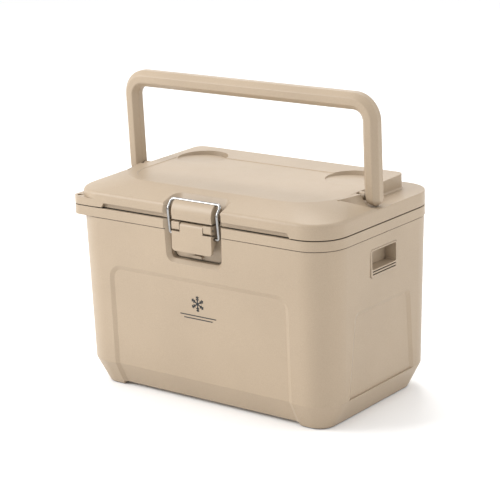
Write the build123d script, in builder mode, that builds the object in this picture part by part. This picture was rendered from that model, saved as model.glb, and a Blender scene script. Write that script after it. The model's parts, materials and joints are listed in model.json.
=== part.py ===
from build123d import *
import os
from math import atan2, cos, degrees, radians, sin, tan

os.makedirs("parts", exist_ok=True)

# ---------------------------------------------------------------- driving dimensions (mm)
# X runs along the long front, the latch faces -Y, the hinges face +Y, the floor is Z = 0.
WIDTH = 410.0
DEPTH = 257.0
CORNER = 45.0
HALF_X = WIDTH / 2
HALF_Y = DEPTH / 2
SKIN = 3.0
CLEAR = 0.3

# Tub heights and insets from the full outline
TUB_TOP = 248.6
RIM_LOW = 236.0
RIM_PROUD = 1.0
KNEE = 34.7
KNEE_INSET = 6.0
BASE_INSET = 23.4
FOOT_HEIGHT = 5.0
FOOT_INNER_X = 146.0
FOOT_INNER_Y = 60.0
KNEE_FILLET = 6.0
BASE_FILLET = 2.5
EDGE_FILLET = 0.8
RIM_GROOVE = 1.2

# Recessed panels in the tub walls
PANEL_DEPTH = 2.5
PANEL_SLOPE = 6.0
FRONT_PANEL_HALF = 141.5
FRONT_PANEL_TOP = 171.0
END_PANEL_TOP = 143.6
END_PANEL_HALF_TOP = 61.0
END_PANEL_HALF_LOW = 73.0

# Cooling space
CAVITY_HALF_X = 177.0
CAVITY_HALF_Y = 101.0
CAVITY_CORNER = 26.0
CAVITY_FLOOR = 27.0
CAVITY_DRAFT = 3.0
LINER = 2.0

# Lid
LID_LOW = 249.8
SHOULDER = 269.0
TOP_FRONT_Y = -87.7
TOP_FRONT_Z = 283.0
TOP_REAR_Y = 106.0
TOP_REAR_Z = 287.0
PLATEAU_X = 170.0
TOP_CORNER_FRONT = 61.0
TOP_CORNER_REAR = 14.0
CHANNEL_FLOOR = 267.8
CHANNEL_FILLET = 2.6
RAMP_TOP_Y = -51.0
RAMP_LOW_Y = -14.5
TOP_PANEL_DEPTH = 0.8
CUP_X = 122.0
CUP_Y = 51.4
CUP_R = 34.1
CUP_DROP = 3.4
PLUG_LOW = 241.0
PLATE_TOP = 252.6

# Carrying handle
PIVOT_Y = -2.0
PIVOT_Z = 279.5
HANDLE_X = 191.0
HANDLE_LENGTH = 121.0
HANDLE_FLATS = 22.0
HANDLE_LEAN = 2.0
HANDLE_BEND = 24.0
LEG_ROUND = 20.0
LEG_ROUND_X = 200.0
LEG_ROUND_Z = 289.0
PIN_R = 2.6
BUSH_R = 3.7
HUB_R = 5.2

# Latch
POCKET_HALF = 47.0
POCKET_BEVEL = 7.0
POCKET_CORNER = 14.0
POCKET_LOW = 190.0
POCKET_BACK_Y = -113.0
LEVER_HALF = 31.8
LEVER_FRONT_Y = -130.5
LEVER_LOW = 209.8
LATCH_PIN_Y = -125.5
LATCH_PIN_Z = 242.5
EAR_INNER = 19.2
BAIL_X = 39.1
BAIL_R = 2.0
BAIL_BAR_Y = -118.2
BAIL_BAR_Z = 274.6
BAIL_TIP_Y = -123.6
BAIL_TIP_Z = 231.0

# Hinges
HINGE_X = 110.0
HINGE_Y = 134.5
HINGE_Z = 249.2
HINGE_R = 4.5
HINGE_WIDTH = 60.0

# Padlock lug at the front left corner
LUG_X = -195.3
LUG_Y = -118.8
LUG_HOLE_R = 3.75
LUG_CORNER = 16.0
LUG_LOW = 236.0
LUG_TOP = 260.0

# Hand pocket in each end
GRIP_LOW = 182.6
GRIP_TOP = 219.0
GRIP_HALF = 30.3
GRIP_DEPTH = 17.0

SIDES = (("left", -1), ("right", 1))


def save(part, label):
    """Names a finished piece and writes its STEP file."""
    part.label = label
    export_step(part, f"parts/{label}.step")


def block(low, high):
    """An axis-aligned box between two corners."""
    size = [b - a for a, b in zip(low, high)]
    middle = [(a + b) / 2 for a, b in zip(low, high)]
    return Pos(*middle) * Box(*size, mode=Mode.PRIVATE)


def rod(start, axis, radius, length):
    """A round bar from a start point along an axis."""
    plane = Plane(origin=start, z_dir=axis)
    low = (Align.CENTER, Align.CENTER, Align.MIN)
    return plane * Cylinder(radius, length, align=low, mode=Mode.PRIVATE)


# ---------------------------------------------------------------- forms shared by several pieces
CHAMFER_SLOPE = (BASE_INSET - KNEE_INSET) / KNEE
CHAMFER_ANGLE = degrees(atan2(BASE_INSET - KNEE_INSET, KNEE))
DRAFT_ANGLE = degrees(atan2(KNEE_INSET - RIM_PROUD, RIM_LOW - KNEE))


def tub_form(inset):
    """Closed tub shape: bevelled foot, drafted wall and rim, moved in by inset."""
    floor = inset
    base = BASE_INSET - CHAMFER_SLOPE * floor + inset / cos(radians(CHAMFER_ANGLE))
    knee = KNEE + 0.25 * inset
    knee_inset = base - CHAMFER_SLOPE * (knee - floor)
    with BuildPart() as form:
        with BuildSketch(Plane.XY.offset(floor)):
            RectangleRounded(WIDTH - 2 * base, DEPTH - 2 * base, CORNER - base)
        extrude(amount=knee - floor, taper=-CHAMFER_ANGLE)
        with BuildSketch(Plane.XY.offset(knee)):
            RectangleRounded(WIDTH - 2 * knee_inset, DEPTH - 2 * knee_inset, CORNER - knee_inset)
        extrude(amount=RIM_LOW - knee, taper=-DRAFT_ANGLE)
        rim = inset if inset == 0 else inset + RIM_PROUD
        with BuildSketch(Plane.XY.offset(RIM_LOW)):
            RectangleRounded(WIDTH - 2 * rim, DEPTH - 2 * rim, CORNER - rim)
        extrude(amount=TUB_TOP - RIM_LOW)
    return form.part


def cavity_form(extra, floor, top):
    """The drafted cooling space, grown outward by extra."""
    with BuildPart() as form:
        with BuildSketch(Plane.XY.offset(floor)):
            RectangleRounded(
                2 * (CAVITY_HALF_X - CAVITY_DRAFT + extra),
                2 * (CAVITY_HALF_Y - CAVITY_DRAFT + extra),
                CAVITY_CORNER - CAVITY_DRAFT + extra,
            )
        extrude(amount=top - floor, taper=-degrees(atan2(CAVITY_DRAFT, TUB_TOP - CAVITY_FLOOR)))
    return form.part


def wall_plane(foot, normal, angle):
    """Plane on a leaning wall: foot is a point on it, normal its level direction."""
    lean = radians(angle)
    out = Vector(*normal) * cos(lean) - Vector(0, 0, 1) * sin(lean)
    along = Vector(0, 0, 1).cross(Vector(*normal))
    return Plane(origin=foot, x_dir=along, z_dir=out)


def panel_cut(plane, half_top, half_low, top, low, corner):
    """Shallow window with sloping walls, cut into a leaning wall."""
    over = 0.5
    with BuildPart() as cut:
        for depth in (over, -PANEL_DEPTH):
            grow = PANEL_SLOPE * (depth / PANEL_DEPTH + 0.5)
            with BuildSketch(plane.offset(depth)):
                with BuildLine():
                    Polyline(
                        (half_low + grow, low),
                        (half_top + grow, top + grow),
                        (-half_top - grow, top + grow),
                        (-half_low - grow, low),
                        close=True,
                    )
                make_face()
                fillet(vertices().sort_by(Axis.Y)[2:], corner + grow)
        loft()
    return cut.part


def latch_pocket():
    """Hollow for the latch, shared by the tub wall and the lid front."""
    inner = POCKET_HALF - POCKET_BEVEL
    slope_angle = atan2(TOP_FRONT_Z - SHOULDER, TOP_FRONT_Y + HALF_Y)
    slope_plane = Plane(
        origin=(0, -HALF_Y, SHOULDER), x_dir=(1, 0, 0), z_dir=(0, -sin(slope_angle), cos(slope_angle))
    )
    top_run = 29.6
    over = 1.0
    with BuildPart() as core:
        with BuildSketch(Plane.YZ.offset(-inner)):
            with BuildLine():
                Polyline(
                    (-HALF_Y + POCKET_BEVEL - 1.0, POCKET_LOW + POCKET_BEVEL),
                    (POCKET_BACK_Y, POCKET_LOW + POCKET_BEVEL),
                    (POCKET_BACK_Y, 250.0),
                    (-104.6, 270.3),
                    (-HALF_Y + POCKET_BEVEL - 1.0, 264.5),
                    close=True,
                )
            make_face()
        extrude(amount=2 * inner)
        fillet(edges().filter_by(Axis.Y).group_by(Axis.Z)[0], POCKET_CORNER - POCKET_BEVEL)
    with BuildPart() as pocket:
        for step in (over, -POCKET_BEVEL):
            with BuildSketch(Plane.XZ.offset(HALF_Y + step)):
                low = POCKET_LOW - step
                high = SHOULDER + 5.0
                with Locations((0, (low + high) / 2)):
                    Rectangle(2 * (POCKET_HALF + step), high - low)
                fillet(vertices().group_by(Axis.Z)[0], POCKET_CORNER + step)
        loft()
        for step in (over, -POCKET_BEVEL):
            with BuildSketch(slope_plane.offset(step)):
                low = -14.0
                high = top_run + step
                with Locations((0, (low + high) / 2)):
                    Rectangle(2 * (POCKET_HALF + step), high - low)
                fillet(vertices().group_by(Axis.Y)[-1], POCKET_CORNER + step)
        loft()
        add(core.part)
    return pocket.part


def lid_outline(inset, front, rear, corner_front, corner_rear, half):
    """Plan outline of the lid's upper part, drawn in the active sketch."""
    with Locations((0, (front + rear) / 2)):
        Rectangle(2 * (half - inset), rear - front - 2 * inset)
    fillet(vertices().group_by(Axis.Y)[0], corner_front - inset)
    fillet(vertices().group_by(Axis.Y)[-1], corner_rear - inset)


def lug_ring(low, high):
    """Padlock lug: squares off the rounded corner and holds a vertical eye."""
    arm = CORNER
    with BuildPart() as ring:
        with BuildSketch(Plane.XY.offset(low)):
            with Locations((-HALF_X + arm / 2, -HALF_Y + arm / 2)):
                Rectangle(arm, arm)
            fillet(vertices().sort_by(Axis((0, 0, 0), (1, 1, 0)))[0], LUG_CORNER)
        extrude(amount=high - low)
    return ring.part


POCKET = latch_pocket()
CAVITY = cavity_form(0, CAVITY_FLOOR, TUB_TOP + 1)

# ---------------------------------------------------------------- tub: outer shell
panel_top = FRONT_PANEL_TOP - KNEE
panel_half = FRONT_PANEL_HALF
panel_cuts = []
for facing in (-1, 1):
    foot = (0, facing * (HALF_Y - KNEE_INSET), KNEE)
    wall = wall_plane(foot, (0, facing, 0), DRAFT_ANGLE)
    bevel = wall_plane(foot, (0, facing, 0), CHAMFER_ANGLE)
    panel_cuts.append(panel_cut(wall, panel_half, panel_half, panel_top, -12.0, 16.0))
    panel_cuts.append(panel_cut(bevel, panel_half, panel_half, 14.0, -46.0, 6.0))
for facing in (-1, 1):
    foot = (facing * (HALF_X - KNEE_INSET), 0, KNEE)
    wall = wall_plane(foot, (facing, 0, 0), DRAFT_ANGLE)
    panel_cuts.append(
        panel_cut(wall, END_PANEL_HALF_TOP, END_PANEL_HALF_LOW, END_PANEL_TOP - KNEE, 0.0, 8.0)
    )

tub_solid = tub_form(0)
tub_lug = lug_ring(LUG_LOW, TUB_TOP)
void_blocks = [block((-51, -140, 186), (51, POCKET_BACK_Y + SKIN, 260))]
for name, side in SIDES:
    ends = sorted((side * (HALF_X - GRIP_DEPTH - 6.0), side * (HALF_X + 1)))
    void_blocks.append(
        block((ends[0], -GRIP_HALF - 1, GRIP_LOW - 2), (ends[1], GRIP_HALF + 1, GRIP_TOP + 1))
    )
for strip in ((-HALF_Y, 4 - FOOT_INNER_Y), (FOOT_INNER_Y - 4, HALF_Y)):
    void_blocks.append(
        block((-FOOT_INNER_X - 4, strip[0], 0), (FOOT_INNER_X + 4, strip[1], FOOT_HEIGHT + SKIN))
    )
tub_void = tub_form(SKIN) - void_blocks

tub_screw_rods = []
for hinge_x in (-HINGE_X, HINGE_X):
    for offset_x in (-20.0, 20.0):
        tub_screw_rods.append(rod((hinge_x + offset_x, HINGE_Y - 2.0, 240.5), (0, -1, 0), 1.8, 14.0))
base_screw_spots = [(x, z) for x in (-13.0, 13.0) for z in (214.0, 228.0)]
base_screw_rods = [rod((x, POCKET_BACK_Y - 3, z), (0, 1, 0), 1.5, 9.2) for x, z in base_screw_spots]

with BuildPart() as tub_outer_shell:
    add(tub_solid)
    fillet(edges().filter_by_position(Axis.Z, KNEE - 0.01, KNEE + 0.01), KNEE_FILLET)
    fillet(edges().group_by(Axis.Z)[0], BASE_FILLET)
    fillet(edges().group_by(Axis.Z)[-1], EDGE_FILLET)
    # shadow groove under the rim
    with BuildSketch(Plane.XY.offset(RIM_LOW - 1.0)):
        RectangleRounded(WIDTH + 2, DEPTH + 2, CORNER + 1)
        groove_inset = RIM_PROUD + RIM_GROOVE
        RectangleRounded(
            WIDTH - 2 * groove_inset, DEPTH - 2 * groove_inset, CORNER - groove_inset, mode=Mode.SUBTRACT
        )
    extrude(amount=1.0, mode=Mode.SUBTRACT)
    add(tub_lug)
    for cut in panel_cuts:
        add(cut, mode=Mode.SUBTRACT)
    add(POCKET, mode=Mode.SUBTRACT)
    # the underside is raised between the front feet and between the rear feet
    with BuildSketch(Plane.XY):
        for side in (-1, 1):
            with Locations((0, side * (HALF_Y + FOOT_INNER_Y) / 2)):
                Rectangle(2 * FOOT_INNER_X, HALF_Y - FOOT_INNER_Y)
    extrude(amount=FOOT_HEIGHT, taper=20, mode=Mode.SUBTRACT)
    add(tub_void, mode=Mode.SUBTRACT)
    for name, side in SIDES:
        for trim, depth in ((-0.3, 3.2), (1.7, GRIP_DEPTH + 8.0)):
            with BuildSketch(Plane.YZ.offset(side * HALF_X)):
                with Locations((0, (GRIP_LOW + GRIP_TOP) / 2)):
                    RectangleRounded(2 * (GRIP_HALF - trim), GRIP_TOP - GRIP_LOW - 2 * trim, 4.0)
            extrude(amount=-side * depth, mode=Mode.SUBTRACT)
    with BuildSketch(Plane.XY.offset(LUG_LOW - 1)):
        with Locations((LUG_X, LUG_Y)):
            Circle(LUG_HOLE_R)
    extrude(amount=TUB_TOP - LUG_LOW + 2, mode=Mode.SUBTRACT)
    for hole in tub_screw_rods + base_screw_rods:
        add(hole, mode=Mode.SUBTRACT)
save(tub_outer_shell.part, "tub_outer_shell")

# ---------------------------------------------------------------- tub: inner liner with its top flange
flange_inset = SKIN + RIM_PROUD + CLEAR
liner_solid = cavity_form(LINER, CAVITY_FLOOR - LINER, TUB_TOP)
liner_notch = block((-52, -140, 180), (52, POCKET_BACK_Y + SKIN + CLEAR, 260))
with BuildPart() as tub_inner_liner:
    add(liner_solid)
    with BuildSketch(Plane.XY.offset(TUB_TOP - 2.6)):
        RectangleRounded(WIDTH - 2 * flange_inset, DEPTH - 2 * flange_inset, CORNER - flange_inset)
    extrude(amount=2.5)
    add(CAVITY, mode=Mode.SUBTRACT)
    add(liner_notch, mode=Mode.SUBTRACT)
save(tub_inner_liner.part, "tub_inner_liner")

# ---------------------------------------------------------------- tub: insulating foam
with BuildPart() as tub_foam:
    add(tub_void)
    add(liner_solid, mode=Mode.SUBTRACT)
    with BuildSketch(Plane.XY.offset(TUB_TOP - 2.6)):
        Rectangle(WIDTH + 10, DEPTH + 10)
    extrude(amount=5.0, mode=Mode.SUBTRACT)
    for hole in tub_screw_rods + base_screw_rods:
        add(hole, mode=Mode.SUBTRACT)
save(tub_foam.part, "tub_foam")

# ---------------------------------------------------------------- end hand pockets
grip_middle = (GRIP_LOW + GRIP_TOP) / 2
grip_rim_x = HALF_X - 1.0
for name, side in SIDES:
    with BuildPart() as end_grip:
        with BuildSketch(Plane.YZ.offset(side * grip_rim_x)):
            with Locations((0, grip_middle)):
                RectangleRounded(2 * GRIP_HALF, GRIP_TOP - GRIP_LOW, 4.0)
        extrude(amount=-side * 1.9)
        fillet(faces().sort_by(Axis.X)[0 if side < 0 else -1].edges(), 0.6)
        with BuildSketch(Plane.YZ.offset(side * (grip_rim_x - 1.0))):
            with Locations((0, grip_middle)):
                RectangleRounded(2 * GRIP_HALF - 4.0, GRIP_TOP - GRIP_LOW - 4.0, 3.0)
        extrude(amount=-side * (GRIP_DEPTH + 2.0))
        with BuildSketch(Plane.YZ.offset(side * HALF_X)):
            with Locations((0, 204.9)):
                RectangleRounded(2 * GRIP_HALF - 5.2, 24.2, 2.5)
        extrude(amount=-side * (GRIP_DEPTH + 1.0), mode=Mode.SUBTRACT)
        with BuildSketch(Plane.YZ.offset(side * HALF_X)):
            with Locations((0, 190.2), (0, 186.6)):
                RectangleRounded(2 * GRIP_HALF - 7.0, 1.5, 0.7)
        extrude(amount=-side * 5.0, mode=Mode.SUBTRACT)
    save(end_grip.part, f"end_grip_{name}")

# ---------------------------------------------------------------- lid: outer shell
top_tilt = atan2(TOP_REAR_Z - TOP_FRONT_Z, TOP_REAR_Y - TOP_FRONT_Y)
top_plane = Plane(
    origin=(0, 0, TOP_FRONT_Z - TOP_FRONT_Y * tan(top_tilt)),
    x_dir=(1, 0, 0),
    z_dir=(0, -sin(top_tilt), cos(top_tilt)),
)
cup_front = CUP_Y - CUP_R
cup_front_z = TOP_FRONT_Z + (cup_front - TOP_FRONT_Y) * tan(top_tilt) - TOP_PANEL_DEPTH
cup_tilt = atan2(CUP_DROP, 2 * CUP_R)
cup_plane = Plane(
    origin=(0, cup_front, cup_front_z), x_dir=(1, 0, 0), z_dir=(0, sin(cup_tilt), cos(cup_tilt))
)


def lid_dome():
    """The lid's upper part: sloping front and ends under a slightly tilted top."""
    with BuildPart() as dome:
        with BuildSketch(Plane.XY.offset(SHOULDER)):
            lid_outline(0, -HALF_Y, HALF_Y, CORNER, CORNER, HALF_X)
        with BuildSketch(top_plane):
            lid_outline(0, TOP_FRONT_Y, TOP_REAR_Y, TOP_CORNER_FRONT, TOP_CORNER_REAR, PLATEAU_X)
        loft()
    return dome.part


def channel_tool():
    """What the handle channel removes: both ends behind the ramp and the rear ledge."""
    over = 5.0
    clear_above = 40.0
    with BuildPart() as tool:
        with BuildSketch(Plane.XY.offset(CHANNEL_FLOOR)):
            with Locations((0, (RAMP_LOW_Y + HALF_Y) / 2 + over)):
                Rectangle(WIDTH + 2 * over, HALF_Y - RAMP_LOW_Y + 2 * over)
        extrude(amount=clear_above)
        with BuildSketch(Plane.YZ.offset(-HALF_X - over)):
            with BuildLine():
                Polyline(
                    (RAMP_LOW_Y, CHANNEL_FLOOR),
                    (RAMP_TOP_Y, TOP_FRONT_Z + 0.8),
                    (RAMP_TOP_Y, CHANNEL_FLOOR + clear_above),
                    (RAMP_LOW_Y, CHANNEL_FLOOR + clear_above),
                    close=True,
                )
            make_face()
        extrude(amount=WIDTH + 2 * over)
        with BuildSketch(Plane.XY.offset(CHANNEL_FLOOR - 1)):
            lid_outline(0, -HALF_Y - 60, TOP_REAR_Y, 10.0, TOP_CORNER_REAR, PLATEAU_X)
        extrude(amount=clear_above + 20, mode=Mode.SUBTRACT)
        foot = edges().filter_by_position(Axis.Z, CHANNEL_FLOOR - 0.01, CHANNEL_FLOOR + 0.01)
        foot = foot.filter_by_position(Axis.X, -PLATEAU_X - 0.01, PLATEAU_X + 0.01)
        fillet(foot.filter_by_position(Axis.Y, RAMP_LOW_Y, TOP_REAR_Y + 0.01), CHANNEL_FILLET)
    return tool.part


def pivot_cheek():
    """Fairing in front of the right handle leg, from the plateau wall round to the leg's curved end."""
    root = PLATEAU_X - 2.0
    low = CHANNEL_FLOOR - 5.0
    near_y = RAMP_TOP_Y + 0.5
    far_y = PIVOT_Y - HANDLE_FLATS / 2 - 0.5
    reach = LEG_ROUND_X - PLATEAU_X - 2.0
    with BuildPart() as cheek:
        for place, share in ((near_y, 0.02), (far_y, 1.0)):
            high = TOP_FRONT_Z + (place - TOP_FRONT_Y) * tan(top_tilt) - 0.1
            with BuildSketch(Plane.XZ.offset(-place)):
                with BuildLine():
                    crown = (PLATEAU_X + 9.2 * share, high - 0.6 * share)
                    waist = (PLATEAU_X + 14.0 * share, CHANNEL_FLOOR + 7.6)
                    toe = (PLATEAU_X + reach * share, CHANNEL_FLOOR + 0.3)
                    ThreePointArc(crown, waist, toe)
                    Polyline(toe, (toe[0], low), (root, low), (root, high), crown)
                make_face()
        loft(ruled=True)
    return cheek.part


lid_screw_rods = []
for hinge_x in (-HINGE_X, HINGE_X):
    for offset_x in (-20.0, 20.0):
        lid_screw_rods.append(rod((hinge_x + offset_x, HINGE_Y - 2.0, 260.0), (0, -1, 0), 1.8, 13.0))
keeper_screw_x = (-18.0, 18.0)
keeper_screw_z = 257.0
keeper_screw_rods = [rod((x, -121.0, keeper_screw_z), (0, 1, 0), 1.5, 17.6) for x in keeper_screw_x]

leg_face = HANDLE_X - HANDLE_FLATS / 2
pin_start = 156.0
clip_start = 157.4
bush_start = 162.2
hub_end = leg_face - 1.4
pivot_boxes = []
for name, side in SIDES:
    ends = sorted((side * 150.0, side * (PLATEAU_X + 1)))
    pivot_boxes.append(block((ends[0], PIVOT_Y - 11, 262.0), (ends[1], PIVOT_Y + 11, 290.0)))
keeper_box = block((-27, -140, 240), (27, -103.6, 263))
grip_box = block((-156, -140, 240), (156, -120.5, 259.6))
lid_latch_wall = Pos(0, 3.0, 3.0) * latch_pocket() + block((-51, -140, 240), (51, POCKET_BACK_Y + SKIN, 275))

with BuildPart() as lid_void_form:
    with BuildSketch(Plane.XY.offset(PLATE_TOP)):
        lid_outline(3.6, -HALF_Y, HALF_Y, CORNER, CORNER, HALF_X)
    extrude(amount=262.8 - PLATE_TOP)
    with BuildSketch(Plane.XY.offset(262.8)):
        lid_outline(5.5, -HALF_Y, TOP_REAR_Y, CORNER, 14.0, PLATEAU_X + 2.0)
    with BuildSketch(Plane.XY.offset(278.8)):
        lid_outline(7.0, TOP_FRONT_Y, TOP_REAR_Y + 2.0, 58.0, 14.0, PLATEAU_X + 2.0)
    loft()
lid_void = lid_void_form.part - ([keeper_box, grip_box, lid_latch_wall] + pivot_boxes)

lid_dome_solid = lid_dome()
lid_lug = lug_ring(LID_LOW, LUG_TOP)
lid_channel = channel_tool()
right_cheek = pivot_cheek()
cheeks = [right_cheek, mirror(right_cheek, about=Plane.YZ)]

with BuildPart() as lid_outer_shell:
    with BuildSketch(Plane.XY.offset(LID_LOW)):
        lid_outline(0, -HALF_Y, HALF_Y, CORNER, CORNER, HALF_X)
    extrude(amount=SHOULDER - LID_LOW)
    fillet(edges().group_by(Axis.Z)[0], EDGE_FILLET)
    add(lid_dome_solid)
    soft = edges().filter_by_position(Axis.Z, SHOULDER - 0.01, SHOULDER + 0.01)
    fillet(soft, 5.0)
    crest = faces().sort_by(Axis.Z)[-1].edges()
    fillet(crest, 6.0)
    add(lid_lug)
    add(lid_channel, mode=Mode.SUBTRACT)
    add(cheeks)
    for side in (-1, 1):
        add(rod((side * (PLATEAU_X - 1), PIVOT_Y, PIVOT_Z), (side, 0, 0), HUB_R, hub_end + 1 - PLATEAU_X))
    # shallow panel in the top, and two cup rests that deepen to the rear
    with BuildSketch(top_plane.offset(-TOP_PANEL_DEPTH)):
        lid_outline(17.0, TOP_FRONT_Y - 6.5, 77.0, TOP_CORNER_FRONT, 30.0, PLATEAU_X)
    extrude(amount=5.0, taper=-55, mode=Mode.SUBTRACT)
    with BuildSketch(cup_plane):
        with Locations((-CUP_X, CUP_R), (CUP_X, CUP_R)):
            Circle(CUP_R)
    extrude(amount=9.0, taper=-12, mode=Mode.SUBTRACT)
    add(POCKET, mode=Mode.SUBTRACT)
    # finger grip along the lower front edge
    with BuildSketch(Plane.XZ.offset(HALF_Y + 1)):
        with BuildLine():
            Polyline((-151, 249), (-147, 256.2), (147, 256.2), (151, 249), close=True)
        make_face()
    extrude(amount=-6.0, mode=Mode.SUBTRACT)
    # open underside for the foam and the inner liner
    with BuildSketch(Plane.XY.offset(LID_LOW - 1)):
        lid_outline(8.6, -HALF_Y, HALF_Y, CORNER, CORNER, HALF_X)
    extrude(amount=PLATE_TOP - LID_LOW + 1, mode=Mode.SUBTRACT)
    add(lid_void, mode=Mode.SUBTRACT)
    for name, side in SIDES:
        with BuildSketch(Plane.YZ.offset(side * (pin_start + 11.7))):
            with Locations((PIVOT_Y, PIVOT_Z)):
                Circle(BUSH_R + 0.05)
        extrude(amount=side * 12.0, both=True, mode=Mode.SUBTRACT)
        with BuildSketch(Plane.YZ.offset(side * (bush_start - 0.6))):
            with Locations((PIVOT_Y, PIVOT_Z - 6.1)):
                RectangleRounded(12.4, 20.4, 3.0)
        extrude(amount=-side * 5.2, mode=Mode.SUBTRACT)
    with BuildSketch(Plane.XY.offset(LID_LOW - 1)):
        with Locations((LUG_X, LUG_Y)):
            Circle(LUG_HOLE_R)
    extrude(amount=LUG_TOP - LID_LOW + 2, mode=Mode.SUBTRACT)
    for hole in lid_screw_rods + keeper_screw_rods:
        add(hole, mode=Mode.SUBTRACT)
save(lid_outer_shell.part, "lid_outer_shell")

# ---------------------------------------------------------------- lid: inner liner, foam and gasket
plug_solid = cavity_form(-2.0, PLUG_LOW, LID_LOW + 0.3)
plug_hollow = cavity_form(-4.5, PLUG_LOW + 2.5, PLATE_TOP + 1.0)
with BuildPart() as lid_inner_liner:
    with BuildSketch(Plane.XY.offset(LID_LOW + 0.2)):
        lid_outline(9.0, -HALF_Y, HALF_Y, CORNER, CORNER, HALF_X)
    extrude(amount=PLATE_TOP - LID_LOW - 0.2)
    add(plug_solid)
    add(plug_hollow, mode=Mode.SUBTRACT)
    add(block((-52, -140, 230), (52, POCKET_BACK_Y + SKIN + CLEAR, 260)), mode=Mode.SUBTRACT)
save(lid_inner_liner.part, "lid_inner_liner")

foam_relief = [block((x - 5, -103.6, 250), (x + 5, -99.5, 263)) for x in keeper_screw_x]
plug_foam = cavity_form(-4.5, PLUG_LOW + 2.5, PLATE_TOP)
with BuildPart() as lid_foam:
    add(lid_void)
    add(plug_foam)
    for relief in foam_relief:
        add(relief, mode=Mode.SUBTRACT)
    for hole in lid_screw_rods + keeper_screw_rods:
        add(hole, mode=Mode.SUBTRACT)
save(lid_foam.part, "lid_foam")

with BuildPart() as lid_gasket:
    with BuildSketch(Plane.XY.offset(TUB_TOP + CLEAR)):
        RectangleRounded(2 * (CAVITY_HALF_X + 8), 2 * (CAVITY_HALF_Y + 7), CAVITY_CORNER + 7)
        RectangleRounded(
            2 * (CAVITY_HALF_X + 2), 2 * (CAVITY_HALF_Y + 1), CAVITY_CORNER + 1, mode=Mode.SUBTRACT
        )
    extrude(amount=LID_LOW + 0.2 - TUB_TOP - CLEAR)
save(lid_gasket.part, "lid_gasket")

# ---------------------------------------------------------------- rear hinges
knuckle_gap = 0.5
lid_knuckle_half = 14.25
leaf_back = HALF_Y
leaf_out = HALF_Y + 3.0


def hinge_leaf(profile, knuckles, relief):
    """Leaf plate with its knuckles: profile is the plate in YZ, relief clears the other leaf."""
    web_low, web_high = relief["web"]
    with BuildPart() as leaf:
        with BuildSketch(Plane.YZ.offset(-HINGE_WIDTH / 2)):
            with BuildLine():
                Polyline(*profile, close=True)
            make_face()
        extrude(amount=HINGE_WIDTH)
        for start, end in relief["clear"]:
            with BuildSketch(Plane.YZ.offset(start)):
                with Locations((HINGE_Y, HINGE_Z)):
                    Circle(HINGE_R + 1.4)
            extrude(amount=end - start, mode=Mode.SUBTRACT)
        for start, end in knuckles:
            with BuildSketch(Plane.YZ.offset(start)):
                with Locations((HINGE_Y, HINGE_Z)):
                    Circle(HINGE_R)
                with BuildLine():
                    Polyline(
                        (leaf_back + 0.2, web_low), (HINGE_Y, web_low), (HINGE_Y, web_high),
                        (leaf_back + 0.2, web_high), close=True,
                    )
                make_face()
                with Locations((HINGE_Y, HINGE_Z)):
                    Circle(relief["bore"], mode=Mode.SUBTRACT)
            extrude(amount=end - start)
        with BuildSketch(Plane.XZ.offset(-leaf_out)):
            with Locations((-20, relief["screw_z"]), (20, relief["screw_z"])):
                Circle(1.85)
        extrude(amount=8.0, mode=Mode.SUBTRACT)
    return leaf.part


tub_knuckle_start = lid_knuckle_half + knuckle_gap
outer_knuckles = ((-HINGE_WIDTH / 2, -tub_knuckle_start), (tub_knuckle_start, HINGE_WIDTH / 2))
inner_knuckle = ((-lid_knuckle_half, lid_knuckle_half),)
tub_leaf_profile = (
    (leaf_back, TUB_TOP - 0.3),
    (leaf_out, TUB_TOP - 0.3),
    (leaf_out, 230.0),
    (leaf_back - 0.9, 230.0),
    (leaf_back - 0.9, RIM_LOW - 0.2),
    (leaf_back, RIM_LOW - 0.2),
)
lid_leaf_profile = (
    (leaf_back, LID_LOW + 0.3),
    (leaf_out, LID_LOW + 0.3),
    (leaf_out, 265.5),
    (leaf_back, 265.5),
)
wide_clear = ((-tub_knuckle_start, tub_knuckle_start),)
outer_clear = (
    (-HINGE_WIDTH / 2 - 1, -lid_knuckle_half),
    (lid_knuckle_half, HINGE_WIDTH / 2 + 1),
)
tub_leaf = hinge_leaf(
    tub_leaf_profile,
    outer_knuckles,
    {"clear": wide_clear, "web": (HINGE_Z - HINGE_R, HINGE_Z - 0.9), "bore": 2.02, "screw_z": 240.5},
)
lid_leaf = hinge_leaf(
    lid_leaf_profile,
    inner_knuckle,
    {"clear": outer_clear, "web": (HINGE_Z + 0.9, HINGE_Z + HINGE_R), "bore": 2.06, "screw_z": 260.0},
)
for name, side in SIDES:
    save(Pos(side * HINGE_X, 0, 0) * tub_leaf, f"hinge_leaf_tub_{name}")
    save(Pos(side * HINGE_X, 0, 0) * lid_leaf, f"hinge_leaf_lid_{name}")
    with BuildPart(Plane.YZ.offset(side * HINGE_X - HINGE_WIDTH / 2 - 0.4)) as hinge_pin:
        with Locations((HINGE_Y, HINGE_Z)):
            Cylinder(2.0, HINGE_WIDTH + 0.8, align=(Align.CENTER, Align.CENTER, Align.MIN))
    save(hinge_pin.part, f"hinge_pin_{name}")


def screws(spots, axis, shank_r, shank, head_r, head):
    """Pan-head screws as separate solids: each spot is where the head meets the work."""
    made = []
    for spot in spots:
        seat = Plane(origin=spot, z_dir=axis)
        with BuildPart(seat) as screw:
            Cylinder(shank_r, shank, align=(Align.CENTER, Align.CENTER, Align.MIN))
            with Locations((0, 0, -head)):
                Cylinder(head_r, head, align=(Align.CENTER, Align.CENTER, Align.MIN))
            fillet(screw.edges().sort_by(Axis(spot, axis))[0], head * 0.6)
            with BuildSketch(seat.offset(-head)):
                SlotCenterToCenter(head_r * 0.9, head_r * 0.3)
                SlotCenterToCenter(head_r * 0.9, head_r * 0.3, rotation=90)
            extrude(amount=head * 0.5, mode=Mode.SUBTRACT)
        made.append(screw.part.solids()[0])
    return Compound(children=made)


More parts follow.
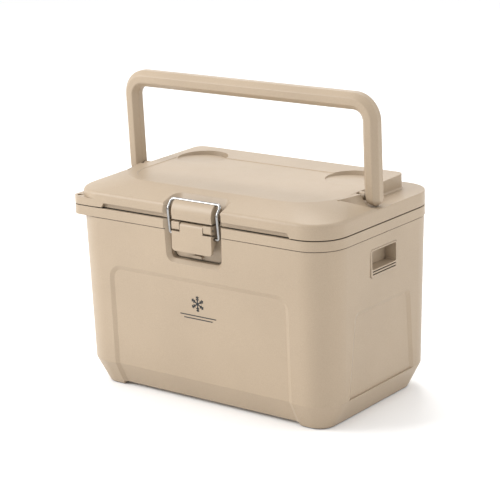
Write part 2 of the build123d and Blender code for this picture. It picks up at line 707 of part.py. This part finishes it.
hinge_spots_x = [h + o for h in (-HINGE_X, HINGE_X) for o in (-20.0, 20.0)]
save(
    screws([(x, leaf_out, 240.5) for x in hinge_spots_x], (0, -1, 0), 1.75, 12.5, 3.4, 1.9),
    "hinge_screws_tub",
)
save(
    screws([(x, leaf_out, 260.0) for x in hinge_spots_x], (0, -1, 0), 1.75, 11.5, 3.4, 1.9),
    "hinge_screws_lid",
)

# ---------------------------------------------------------------- carrying handle
flat = HANDLE_FLATS / 2
corner_flat = flat * tan(radians(22.5))
lean = radians(HANDLE_LEAN)
handle_plane = Plane(origin=(0, PIVOT_Y, PIVOT_Z), x_dir=(1, 0, 0), z_dir=(0, -cos(lean), -sin(lean)))
leg_corners = []
for name, side in SIDES:
    ends = sorted((side * (leg_face - 1), side * LEG_ROUND_X))
    leg_corner = block((ends[0], PIVOT_Y - 20, PIVOT_Z - 20), (ends[1], PIVOT_Y + 20, LEG_ROUND_Z))
    leg_corner -= rod((side * LEG_ROUND_X, PIVOT_Y - 21, LEG_ROUND_Z), (0, 1, 0), LEG_ROUND, 42)
    leg_corners.append(leg_corner)

with BuildPart() as carry_handle:
    with BuildLine(handle_plane) as handle_path:
        FilletPolyline(
            (HANDLE_X, 0),
            (HANDLE_X, HANDLE_LENGTH),
            (-HANDLE_X, HANDLE_LENGTH),
            (-HANDLE_X, 0),
            radius=HANDLE_BEND,
        )
    with BuildSketch(Plane(origin=handle_path.line @ 0, x_dir=(1, 0, 0), z_dir=handle_path.line % 0)):
        RegularPolygon(flat / cos(radians(22.5)), 8, rotation=22.5)
        fillet(vertices(), 2.5)
    sweep(path=handle_path.line)
    for name, side in SIDES:
        with BuildSketch(Plane.XY.offset(PIVOT_Z).move(Location((side * HANDLE_X, PIVOT_Y, 0)))):
            with BuildLine():
                Polyline(
                    (-flat, 0), (-flat, corner_flat), (-corner_flat, flat),
                    (corner_flat, flat), (flat, corner_flat), (flat, 0), close=True,
                )
            make_face()
            fillet(vertices().sort_by(Axis.Y)[2:], 2.5)
        revolve(axis=Axis((0, PIVOT_Y, PIVOT_Z), (1, 0, 0)))
    for leg_corner in leg_corners:
        add(leg_corner, mode=Mode.SUBTRACT)
    for name, side in SIDES:
        with BuildSketch(Plane.YZ.offset(side * (leg_face - 1))):
            with Locations((PIVOT_Y, PIVOT_Z)):
                Circle(PIN_R)
        extrude(amount=side * 16.0, mode=Mode.SUBTRACT)
save(carry_handle.part, "carry_handle")

low_end = (Align.CENTER, Align.CENTER, Align.MIN)
clip_solids = []
for name, side in SIDES:
    clip_plane = Plane(origin=(side * clip_start, PIVOT_Y, PIVOT_Z), x_dir=(0, side, 0), z_dir=(side, 0, 0))
    with BuildPart(Plane(origin=(side * pin_start, PIVOT_Y, PIVOT_Z), z_dir=(side, 0, 0))) as handle_pin:
        Cylinder(PIN_R, leg_face + 14.5 - pin_start, align=low_end)
        with BuildSketch(clip_plane):
            Circle(PIN_R + 0.5)
            Circle(PIN_R - 0.5, mode=Mode.SUBTRACT)
        extrude(amount=1.3, mode=Mode.SUBTRACT)
    save(handle_pin.part, f"handle_pin_{name}")
    with BuildPart(Plane(origin=(side * bush_start, PIVOT_Y, PIVOT_Z), z_dir=(side, 0, 0))) as handle_bush:
        Cylinder(BUSH_R, hub_end - bush_start + 0.5, align=low_end)
        with Locations((0, 0, hub_end + 0.05 - bush_start)):
            Cylinder(HUB_R - 0.2, leg_face - hub_end - 0.4, align=low_end)
        Hole(PIN_R + 0.06)
    save(handle_bush.part, f"handle_bush_{name}")
    with BuildPart() as handle_clip:
        with BuildSketch(clip_plane.offset(0.05)):
            Circle(PIN_R + 1.3)
            Circle(PIN_R - 0.45, mode=Mode.SUBTRACT)
            with Locations((0, -PIN_R)):
                Rectangle(3.6, 2 * PIN_R, mode=Mode.SUBTRACT)
        extrude(amount=1.2)
    clip_solids.append(handle_clip.part.solids()[0])
save(Compound(children=clip_solids), "handle_clips")

# ---------------------------------------------------------------- front latch, tub side
base_half = 37.0
ear_top = TUB_TOP - 0.5
ear_low = 236.8
ear_gap = 1.1
with BuildPart() as latch_base:
    with BuildSketch(Plane.XZ.offset(-POCKET_BACK_Y)):
        with Locations((0, (199.0 + ear_top) / 2)):
            RectangleRounded(2 * base_half, ear_top - 199.0, 6.0)
    extrude(amount=2.5)
    for side in (-1, 1):
        ear_from = min(side * EAR_INNER, side * (LEVER_HALF - 0.2))
        with BuildSketch(Plane.YZ.offset(ear_from)):
            with BuildLine():
                Polyline(
                    (POCKET_BACK_Y - 2.0, ear_top), (LEVER_FRONT_Y + 0.2, ear_top),
                    (LEVER_FRONT_Y + 0.2, ear_low), (POCKET_BACK_Y - 6.0, ear_low),
                    (POCKET_BACK_Y - 2.0, ear_low - 7.0), close=True,
                )
            make_face()
        extrude(amount=LEVER_HALF - 0.2 - EAR_INNER)
        with BuildSketch(Plane.YZ.offset(ear_from - 0.1)):
            with Locations((LATCH_PIN_Y, LATCH_PIN_Z)):
                Circle(1.53)
        extrude(amount=LEVER_HALF - EAR_INNER, mode=Mode.SUBTRACT)
    ear_fronts = edges().filter_by(Axis.X).group_by(Axis.Y)[0]
    fillet(ear_fronts.group_by(Axis.Z)[-1], 1.6)
    fillet(edges().filter_by(Axis.X).group_by(Axis.Y)[0].group_by(Axis.Z)[0], 4.0)
    # small stop tab under the lever
    with BuildSketch(Plane.XZ.offset(-POCKET_BACK_Y + 2.0)):
        with Locations((0, 202.5)):
            RectangleRounded(14.0, 3.4, 1.2)
    extrude(amount=5.0)
    for spot_x, spot_z in base_screw_spots:
        with BuildSketch(Plane.XZ.offset(-POCKET_BACK_Y)):
            with Locations((spot_x, spot_z)):
                Circle(1.6)
        extrude(amount=3.0, mode=Mode.SUBTRACT)
save(latch_base.part, "latch_base")
base_seat_y = POCKET_BACK_Y - 2.5
save(
    screws([(x, base_seat_y, z) for x, z in base_screw_spots], (0, 1, 0), 1.45, 8.4, 2.8, 1.6),
    "latch_base_screws",
)
pin_plane = Plane(origin=(-LEVER_HALF + 0.4, LATCH_PIN_Y, LATCH_PIN_Z), z_dir=(1, 0, 0))
with BuildPart(pin_plane) as latch_pivot_pin:
    Cylinder(1.5, 2 * LEVER_HALF - 0.8, align=(Align.CENTER, Align.CENTER, Align.MIN))
save(latch_pivot_pin.part, "latch_pivot_pin")

# ---------------------------------------------------------------- latch lever
lever_back_y = LEVER_FRONT_Y + 4.2
tongue_half = EAR_INNER - 0.9
with BuildPart() as latch_lever:
    with BuildSketch(Plane.XZ.offset(-LEVER_FRONT_Y)):
        with Locations((0, (LEVER_LOW + 246.0) / 2)):
            Rectangle(2 * LEVER_HALF, 246.0 - LEVER_LOW)
        fillet(vertices().group_by(Axis.Z)[0], 5.0)
        with Locations((-LEVER_HALF, 246.0), (LEVER_HALF, 246.0)):
            Rectangle(2 * (LEVER_HALF - tongue_half), 2 * (246.0 - ear_low + ear_gap), mode=Mode.SUBTRACT)
    extrude(amount=-4.2)
    with BuildSketch(Plane.YZ.offset(-tongue_half)):
        with Locations((LATCH_PIN_Y, LATCH_PIN_Z)):
            Circle(5.0)
        with BuildLine():
            Polyline(
                (LEVER_FRONT_Y, LATCH_PIN_Z), (LATCH_PIN_Y + 4.6, LATCH_PIN_Z - 2.0),
                (lever_back_y, 230.0), (LEVER_FRONT_Y, 230.0), close=True,
            )
        make_face()
    extrude(amount=2 * tongue_half)
    # round off the top so that the lever turns under the keeper
    with BuildSketch(Plane.YZ.offset(-LEVER_HALF)):
        with Locations((LATCH_PIN_Y, LATCH_PIN_Z + 5.0)):
            Rectangle(24.0, 10.0)
        with Locations((LATCH_PIN_Y, LATCH_PIN_Z)):
            Circle(5.0, mode=Mode.SUBTRACT)
    extrude(amount=2 * LEVER_HALF, mode=Mode.SUBTRACT)
    # side cheeks with the eyes that face the bail tips
    for side in (-1, 1):
        cheek_from = min(side * (LEVER_HALF - 3.6), side * LEVER_HALF)
        with BuildSketch(Plane.YZ.offset(cheek_from)):
            with BuildLine():
                Polyline(
                    (lever_back_y - 0.5, ear_low - ear_gap), (-119.6, 234.0), (-119.6, 227.0),
                    (lever_back_y - 0.5, 216.0), close=True,
                )
            make_face()
            fillet(vertices().group_by(Axis.Y)[-1], 2.2)
        extrude(amount=3.6)
        with BuildSketch(Plane.YZ.offset(side * (LEVER_HALF + 0.1))):
            with Locations((BAIL_TIP_Y, BAIL_TIP_Z)):
                Circle(2.3)
        extrude(amount=-side * 2.6, mode=Mode.SUBTRACT)
    with BuildSketch(Plane.YZ.offset(-tongue_half - 0.1)):
        with Locations((LATCH_PIN_Y, LATCH_PIN_Z)):
            Circle(1.56)
    extrude(amount=2 * tongue_half + 0.2, mode=Mode.SUBTRACT)
save(latch_lever.part, "latch_lever")

# ---------------------------------------------------------------- wire bail
with BuildPart() as latch_bail:
    with BuildLine() as bail_path:
        FilletPolyline(
            (LEVER_HALF + 0.6, BAIL_TIP_Y, BAIL_TIP_Z),
            (BAIL_X, BAIL_TIP_Y, BAIL_TIP_Z),
            (BAIL_X, -126.8, 263.0),
            (BAIL_X, BAIL_BAR_Y, BAIL_BAR_Z),
            (0, BAIL_BAR_Y, BAIL_BAR_Z),
            radius=[3.2, 9.0, 4.6],
        )
    with BuildSketch(Plane(origin=bail_path.line @ 0, z_dir=bail_path.line % 0)):
        Circle(BAIL_R)
    sweep(path=bail_path.line)
    mirror(about=Plane.YZ)
save(latch_bail.part, "latch_bail")

# ---------------------------------------------------------------- keeper on the lid
with BuildPart() as latch_keeper:
    with BuildSketch(Plane.YZ.offset(-LEVER_HALF)):
        with BuildLine():
            foot_front = (-128.6, 250.7)
            face_mid = (-129.8, 259.0)
            lip = (-121.2, 274.6)
            Line(foot_front, face_mid)
            TangentArc(face_mid, lip, tangent=(0.0, 1.0))
            Polyline(lip, (-116.0, 270.6), (-106.6, 266.0), (-113.15, 250.7), foot_front)
        make_face()
    extrude(amount=2 * LEVER_HALF)
    with BuildSketch(Plane.YZ.offset(-LEVER_HALF)):
        with Locations((BAIL_BAR_Y, BAIL_BAR_Z)):
            Circle(BAIL_R + 0.35)
    extrude(amount=2 * LEVER_HALF, mode=Mode.SUBTRACT)
    for hole in keeper_screw_rods:
        add(hole, mode=Mode.SUBTRACT)
save(latch_keeper.part, "latch_keeper")
save(
    screws([(x, -103.5, keeper_screw_z) for x in keeper_screw_x], (0, -1, 0), 1.45, 17.0, 3.2, 1.8),
    "latch_keeper_screws",
)
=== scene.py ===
import json
import math

import bmesh
import bpy
from mathutils import Matrix, Vector


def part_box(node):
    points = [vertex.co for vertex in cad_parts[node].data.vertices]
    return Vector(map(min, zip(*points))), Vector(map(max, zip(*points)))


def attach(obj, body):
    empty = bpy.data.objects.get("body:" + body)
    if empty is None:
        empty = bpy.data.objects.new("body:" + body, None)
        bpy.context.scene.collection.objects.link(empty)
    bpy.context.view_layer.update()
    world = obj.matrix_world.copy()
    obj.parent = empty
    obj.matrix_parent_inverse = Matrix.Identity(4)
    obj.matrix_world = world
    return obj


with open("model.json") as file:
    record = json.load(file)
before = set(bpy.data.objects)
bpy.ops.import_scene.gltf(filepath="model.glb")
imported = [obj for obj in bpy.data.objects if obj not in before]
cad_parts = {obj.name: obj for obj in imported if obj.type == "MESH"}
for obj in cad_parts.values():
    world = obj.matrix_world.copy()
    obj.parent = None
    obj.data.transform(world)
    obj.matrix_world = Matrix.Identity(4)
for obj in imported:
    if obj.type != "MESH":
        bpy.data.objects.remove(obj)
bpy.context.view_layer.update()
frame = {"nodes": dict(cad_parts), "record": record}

NODES = frame["nodes"]

# Main sizes, in metres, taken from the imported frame
tub_low, tub_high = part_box("tub_outer_shell")
WIDTH = tub_high[0] - tub_low[0]
FRONT = tub_low[1]
PARTING = tub_high[2]

# Front wall: it leans between the knee above the foot bevel and the rim, with a recessed panel
KNEE_HEIGHT = 0.0347
KNEE_INSET = 0.006
RIM_HEIGHT = 0.236
RIM_INSET = 0.001
PANEL_DEPTH = 0.0025

# Printed mark, in the plane of the panel
CRYSTAL_RADIUS = 0.0105
CRYSTAL_HEIGHT = 0.141
ARM_WIDTH = 0.0017
TWIG_WIDTH = 0.0014
TWIG_LENGTH = 0.27
TWIG_TURN = 50
TWIG_PLACES = (0.45, 0.72)
RULES = ((0.029, 0.1245), (0.023, 0.1205))
RULE_WIDTH = 0.0013
INK_LIFT = 0.00018
INK_SINK = 0.00005

# Soft boxes: name, azimuth and elevation in degrees, distance, size, power
LAMPS = (
    ("key_left", -48, 29, 3.0, 1.5, 67.0),
    ("fill_right", 112, 33, 3.0, 1.3, 17.0),
    ("top_rear", 212, 62, 2.2, 0.7, 17.0),
    ("back_rim", 217, 20, 3.2, 1.5, 4.0),
)

# Camera, as a long lens turned and tipped like the catalogue view
CAMERA_AZIMUTH = 37.113
CAMERA_ELEVATION = 15.546
CAMERA_ROLL = -1.647
CAMERA_DISTANCE = 5.7305
TARGET_SIDE = -0.0159
TARGET_DROP = 0.1625
TARGET_TOP = 0.249
SENSOR = 36.0
LENS = 3.54992


# ---------------------------------------------------------------- material helpers
def new_material(name):
    """A node material and its principled shader."""
    material = bpy.data.materials.new(name)
    material.use_nodes = True
    return material, material.node_tree, material.node_tree.nodes["Principled BSDF"]


def noise(tree, coords, scale, detail, rough=0.5):
    """Soft fractal noise, as a grey value."""
    node = tree.nodes.new("ShaderNodeTexNoise")
    node.inputs["Scale"].default_value = scale
    node.inputs["Detail"].default_value = detail
    node.inputs["Roughness"].default_value = rough
    tree.links.new(coords, node.inputs["Vector"])
    return node.outputs["Fac"]


def cells(tree, coords, scale):
    """Rounded cells, as the distance from each cell's middle."""
    node = tree.nodes.new("ShaderNodeTexVoronoi")
    node.feature = "SMOOTH_F1"
    node.inputs["Scale"].default_value = scale
    node.inputs["Smoothness"].default_value = 0.6
    tree.links.new(coords, node.inputs["Vector"])
    return node.outputs["Distance"]


def ramp(tree, value, low, high, at=(0.3, 0.7)):
    """Maps a grey value to a colour between low and high."""
    node = tree.nodes.new("ShaderNodeValToRGB")
    for element, place, colour in zip(node.color_ramp.elements, at, (low, high)):
        element.position = place
        element.color = (*colour, 1.0)
    tree.links.new(value, node.inputs["Fac"])
    return node.outputs["Color"]


def blend(tree, factor, first, second, kind="MIX"):
    """Mixes two colours, where factor is a number or a socket."""
    node = tree.nodes.new("ShaderNodeMix")
    node.data_type = "RGBA"
    node.blend_type = kind
    for socket, value in ((node.inputs[0], factor), (node.inputs[6], first), (node.inputs[7], second)):
        if hasattr(value, "node"):
            tree.links.new(value, socket)
        elif isinstance(value, tuple):
            socket.default_value = (*value, 1.0)
        else:
            socket.default_value = value
    return node.outputs[2]


def spread(tree, value, low, high):
    """Maps a 0 to 1 value onto a range."""
    node = tree.nodes.new("ShaderNodeMapRange")
    node.inputs["To Min"].default_value = low
    node.inputs["To Max"].default_value = high
    tree.links.new(value, node.inputs["Value"])
    return node.outputs["Result"]


def bump(tree, height, strength, distance, below=None):
    """A bumped normal from a height, laid over another normal where one is given."""
    node = tree.nodes.new("ShaderNodeBump")
    node.inputs["Strength"].default_value = strength
    node.inputs["Distance"].default_value = distance
    tree.links.new(height, node.inputs["Height"])
    if below is not None:
        tree.links.new(below, node.inputs["Normal"])
    return node.outputs["Normal"]


def shade(colour, factor):
    """A colour made darker or brighter."""
    return tuple(min(1.0, channel * factor) for channel in colour)


# ---------------------------------------------------------------- materials
BLACK = (0.0, 0.0, 0.0)
WHITE = (1.0, 1.0, 1.0)
EDGE_RADIUS = 0.0006
PALE_EDGE = 1.35
# Painted shade: the share of the plastic's colour left deep in gaps, grooves and creases
PAINTED_CREVICE_SHADE = 0.1


def edge_mask(tree, radius):
    """A mask, 0 on flats and 1 on sharp edges, and the softened normal it comes from."""
    soft = tree.nodes.new("ShaderNodeBevel")
    soft.samples = 4
    soft.inputs["Radius"].default_value = radius
    true = tree.nodes.new("ShaderNodeNewGeometry")
    dot = tree.nodes.new("ShaderNodeVectorMath")
    dot.operation = "DOT_PRODUCT"
    tree.links.new(soft.outputs["Normal"], dot.inputs[0])
    tree.links.new(true.outputs["Normal"], dot.inputs[1])
    mask = ramp(tree, dot.outputs["Value"], WHITE, BLACK, (0.7, 0.97))
    return mask, soft.outputs["Normal"]


def painted_crevice_shade_mask(tree, reach, shut, open_at):
    """Mask for the painted crevice shade: 1 on open surfaces, 0 deep in gaps and grooves narrower than the
    reach.
    """
    node = tree.nodes.new("ShaderNodeAmbientOcclusion")
    node.samples = 8
    node.inputs["Distance"].default_value = reach
    return ramp(tree, node.outputs["AO"], BLACK, WHITE, (shut, open_at))


def moulded_plastic(
    name, colour, roughness=0.43, grain=850.0, grain_depth=0.0001, edge_paling=0.35, crevice_shade_setting=(0.004, 0.15, 0.55)
):
    """Satin moulded plastic: spark-eroded grain, faint flow marks, paler edges and painted shade in
    crevices.
    """
    material, tree, shader = new_material(name)
    coords = tree.nodes.new("ShaderNodeTexCoord").outputs["Object"]
    flow = noise(tree, coords, 9.0, 3.0, 0.45)
    speckle = noise(tree, coords, grain, 3.0, 0.7)
    tone = ramp(tree, flow, shade(colour, 0.97), shade(colour, 1.03), (0.35, 0.65))
    fine = ramp(tree, speckle, (0.93, 0.93, 0.93), (1.05, 1.05, 1.05), (0.3, 0.7))
    mixed = blend(tree, 1.0, tone, fine, "MULTIPLY")
    edges, soft_normal = edge_mask(tree, EDGE_RADIUS)
    # Sharp edges are made paler than the flats
    paled_edges = blend(tree, 1.0, edges, (edge_paling, edge_paling, edge_paling), "MULTIPLY")
    unshaded_colour = blend(tree, paled_edges, mixed, shade(colour, PALE_EDGE))
    # Painted shade: ambient occlusion darkens the colour in gaps, grooves and creases
    unshaded_parts = painted_crevice_shade_mask(tree, *crevice_shade_setting)
    tree.links.new(blend(tree, unshaded_parts, shade(colour, PAINTED_CREVICE_SHADE), unshaded_colour), shader.inputs["Base Color"])
    shader.inputs["Specular IOR Level"].default_value = 0.4
    patches = noise(tree, coords, 34.0, 4.0, 0.6)
    tree.links.new(spread(tree, patches, roughness - 0.05, roughness + 0.06), shader.inputs["Roughness"])
    pits = cells(tree, coords, grain)
    swell = bump(tree, flow, 0.2, 0.0006, soft_normal)
    shallow = bump(tree, speckle, 0.35, grain_depth, swell)
    tree.links.new(bump(tree, pits, 0.5, grain_depth, shallow), shader.inputs["Normal"])
    return material


def drawn_steel(name, colour, roughness, streaks=2400.0):
    """Stainless steel with fine drawing lines and a few dull patches."""
    material, tree, shader = new_material(name)
    coords = tree.nodes.new("ShaderNodeTexCoord").outputs["Object"]
    stretch = tree.nodes.new("ShaderNodeMapping")
    stretch.inputs["Scale"].default_value = (1.0, 1.0, 0.06)
    tree.links.new(coords, stretch.inputs["Vector"])
    lines = noise(tree, stretch.outputs["Vector"], streaks, 2.0, 0.5)
    cloud = noise(tree, coords, 120.0, 3.0, 0.5)
    tree.links.new(ramp(tree, cloud, shade(colour, 0.9), shade(colour, 1.05)), shader.inputs["Base Color"])
    shader.inputs["Metallic"].default_value = 1.0
    tree.links.new(spread(tree, lines, roughness * 0.7, roughness * 1.4), shader.inputs["Roughness"])
    tree.links.new(bump(tree, lines, 0.15, 0.00002), shader.inputs["Normal"])
    return material


def soft_rubber(name, colour):
    """Seal rubber with a dusty bloom."""
    material, tree, shader = new_material(name)
    coords = tree.nodes.new("ShaderNodeTexCoord").outputs["Object"]
    dust = noise(tree, coords, 260.0, 4.0, 0.6)
    tree.links.new(ramp(tree, dust, colour, shade(colour, 1.5)), shader.inputs["Base Color"])
    tree.links.new(spread(tree, dust, 0.7, 0.92), shader.inputs["Roughness"])
    tree.links.new(bump(tree, dust, 0.4, 0.00005), shader.inputs["Normal"])
    return material


def cell_foam(name, colour):
    """Closed-cell foam with small bubbles."""
    material, tree, shader = new_material(name)
    coords = tree.nodes.new("ShaderNodeTexCoord").outputs["Object"]
    bubbles = cells(tree, coords, 700.0)
    tree.links.new(ramp(tree, bubbles, shade(colour, 0.75), colour, (0.1, 0.6)), shader.inputs["Base Color"])
    shader.inputs["Roughness"].default_value = 0.95
    tree.links.new(bump(tree, bubbles, 0.8, 0.0003), shader.inputs["Normal"])
    return material


def printed_ink(name, colour):
    """Pad-printed ink: matt, with a slightly uneven film."""
    material, tree, shader = new_material(name)
    coords = tree.nodes.new("ShaderNodeTexCoord").outputs["Object"]
    film = noise(tree, coords, 1500.0, 3.0, 0.6)
    tree.links.new(ramp(tree, film, colour, shade(colour, 2.2)), shader.inputs["Base Color"])
    tree.links.new(spread(tree, film, 0.5, 0.7), shader.inputs["Roughness"])
    return material


TAN = (0.365, 0.284, 0.200)
MATERIALS = {
    "shell_plastic": moulded_plastic("sand_shell", TAN),
    "latch_plastic": moulded_plastic(
        "sand_latch", TAN, roughness=0.42, grain=1300.0, grain_depth=0.00003, edge_paling=0.5
    ),
    "liner_plastic": moulded_plastic(
        "white_liner",
        (0.60, 0.595, 0.565),
        roughness=0.36,
        grain=500.0,
        grain_depth=0.00003,
        edge_paling=0.1,
        # The liner's painted crevice shade reaches further and starts sooner
        crevice_shade_setting=(0.012, 0.35, 0.8),
    ),
    # Painted shade: the bush is the shell's tan made darker, for where it shows in the gap at the handle's
    # pivot
    "bush_plastic": moulded_plastic(
        "sand_bush_painted_shade", shade(TAN, 0.8), roughness=0.42, grain=1600.0, grain_depth=0.00002
    ),
    "foam": cell_foam("insulating_foam", (0.72, 0.58, 0.30)),
    "steel": drawn_steel("stainless_fittings", (0.58, 0.57, 0.56), 0.30),
    "wire_steel": drawn_steel("bright_wire", (0.33, 0.325, 0.32), 0.12),
    "seal_rubber": soft_rubber("grey_seal", (0.045, 0.044, 0.042)),
}


def dress_nodes():
    """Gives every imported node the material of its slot."""
    slots = {entry["node"]: entry["material_slot"] for entry in frame["record"]["subparts"]}
    for node, thing in NODES.items():
        thing.data.materials.clear()
        thing.data.materials.append(MATERIALS[slots[node]])


# ---------------------------------------------------------------- printed mark on the front panel
def bar(mesh, start, end, width, lift):
    """A thin raised strip between two points of the front plane, given as (x, z)."""
    a = Vector(start)
    b = Vector(end)
    side = (b - a).normalized()
    side = Vector((-side.y, side.x)) * width / 2
    outline = [a - side, b - side, b + side, a + side]
    back = [mesh.verts.new((p.x, 0.0, p.y)) for p in outline]
    front = [mesh.verts.new((p.x, -lift, p.y)) for p in outline]
    mesh.faces.new(front)
    mesh.faces.new(back[::-1])
    for i in range(4):
        j = (i + 1) % 4
        mesh.faces.new((back[i], back[j], front[j], front[i]))


def snow_mark():
    """A plain six-armed snow crystal and two rules, printed on the panel."""
    centre = Vector((0, CRYSTAL_HEIGHT))
    mesh = bmesh.new()
    for arm in range(6):
        angle = math.radians(60 * arm + 90)
        along = Vector((math.cos(angle), math.sin(angle))) * CRYSTAL_RADIUS
        bar(mesh, centre, centre + along, ARM_WIDTH, INK_LIFT)
        for share in TWIG_PLACES:
            root = centre + along * share
            for turn in (-TWIG_TURN, TWIG_TURN):
                twig = angle + math.radians(turn)
                reach = Vector((math.cos(twig), math.sin(twig))) * CRYSTAL_RADIUS * TWIG_LENGTH
                bar(mesh, root, root + reach, TWIG_WIDTH, INK_LIFT)
    for half, height in RULES:
        bar(mesh, (-half, height), (half, height), RULE_WIDTH, INK_LIFT)
    data = bpy.data.meshes.new("front_print")
    mesh.to_mesh(data)
    mesh.free()
    return data


def add_print():
    """Lays the print on the leaning floor of the front panel."""
    thing = bpy.data.objects.new("front_print", snow_mark())
    bpy.context.scene.collection.objects.link(thing)
    lean = math.atan2(KNEE_INSET - RIM_INSET, RIM_HEIGHT - KNEE_HEIGHT)
    floor_y = FRONT + KNEE_INSET + PANEL_DEPTH
    to_knee = Matrix.Translation((0.0, 0.0, -KNEE_HEIGHT))
    to_panel = Matrix.Translation((0.0, floor_y - INK_SINK, KNEE_HEIGHT))
    thing.data.transform(to_panel @ Matrix.Rotation(lean, 4, "X") @ to_knee)
    thing.data.materials.append(printed_ink("black_print", (0.012, 0.012, 0.012)))
    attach(thing, "tub")


# ---------------------------------------------------------------- stage, light and camera
def add_floor():
    """A wide white sheet just under the feet."""
    bpy.ops.mesh.primitive_plane_add(size=30.0, location=(0.0, 0.0, -0.0005))
    floor = bpy.context.object
    floor.name = "studio_floor"
    material, tree, shader = new_material("studio_white")
    coords = tree.nodes.new("ShaderNodeTexCoord").outputs["Object"]
    cloud = noise(tree, coords, 2.0, 2.0)
    tree.links.new(ramp(tree, cloud, (0.93, 0.93, 0.93), (0.95, 0.95, 0.95)), shader.inputs["Base Color"])
    shader.inputs["Roughness"].default_value = 0.9
    floor.data.materials.append(material)


def add_lamp(name, azimuth, elevation, distance, size, power):
    """A square soft box aimed at the middle of the chest, placed by its direction from it."""
    turn = math.radians(azimuth)
    rise = math.radians(elevation)
    middle = Vector((0.0, 0.0, PARTING * 0.7))
    direction = Vector((math.sin(turn) * math.cos(rise), -math.cos(turn) * math.cos(rise), math.sin(rise)))
    data = bpy.data.lights.new(name, "AREA")
    data.shape = "SQUARE"
    data.size = size
    data.energy = power
    lamp = bpy.data.objects.new(name, data)
    lamp.location = middle + direction * distance
    lamp.rotation_euler = direction.to_track_quat("Z", "Y").to_euler()
    bpy.context.scene.collection.objects.link(lamp)


def add_world(strength):
    """Even white light from all round."""
    world = bpy.data.worlds.new("studio_world")
    world.use_nodes = True
    sky = world.node_tree.nodes["Background"]
    sky.inputs["Color"].default_value = (1.0, 1.0, 1.0, 1.0)
    sky.inputs["Strength"].default_value = strength
    bpy.context.scene.world = world


def add_camera():
    """The camera, a little over two metres away."""
    azimuth = math.radians(CAMERA_AZIMUTH)
    elevation = math.radians(CAMERA_ELEVATION)
    roll = math.radians(CAMERA_ROLL)
    distance = CAMERA_DISTANCE * WIDTH
    target = Vector((TARGET_SIDE * WIDTH, 0.0, TARGET_TOP - TARGET_DROP * WIDTH))
    back = Vector(
        (
            math.sin(azimuth) * math.cos(elevation),
            -math.cos(azimuth) * math.cos(elevation),
            math.sin(elevation),
        )
    )
    right = Vector((math.cos(azimuth), math.sin(azimuth), 0.0))
    up = back.cross(right)
    turned_right = right * math.cos(roll) + up * math.sin(roll)
    turned_up = up * math.cos(roll) - right * math.sin(roll)
    axes = Matrix((turned_right, turned_up, back)).transposed().to_4x4()
    data = bpy.data.cameras.new("camera")
    data.sensor_width = SENSOR
    data.lens = SENSOR * LENS
    camera = bpy.data.objects.new("camera", data)
    camera.matrix_world = Matrix.Translation(target + back * distance) @ axes
    bpy.context.scene.collection.objects.link(camera)
    bpy.context.scene.camera = camera


dress_nodes()
add_print()
add_floor()
add_world(1.0)
for lamp in LAMPS:
    add_lamp(*lamp)
add_camera()
bpy.context.scene.view_settings.view_transform = "Standard"
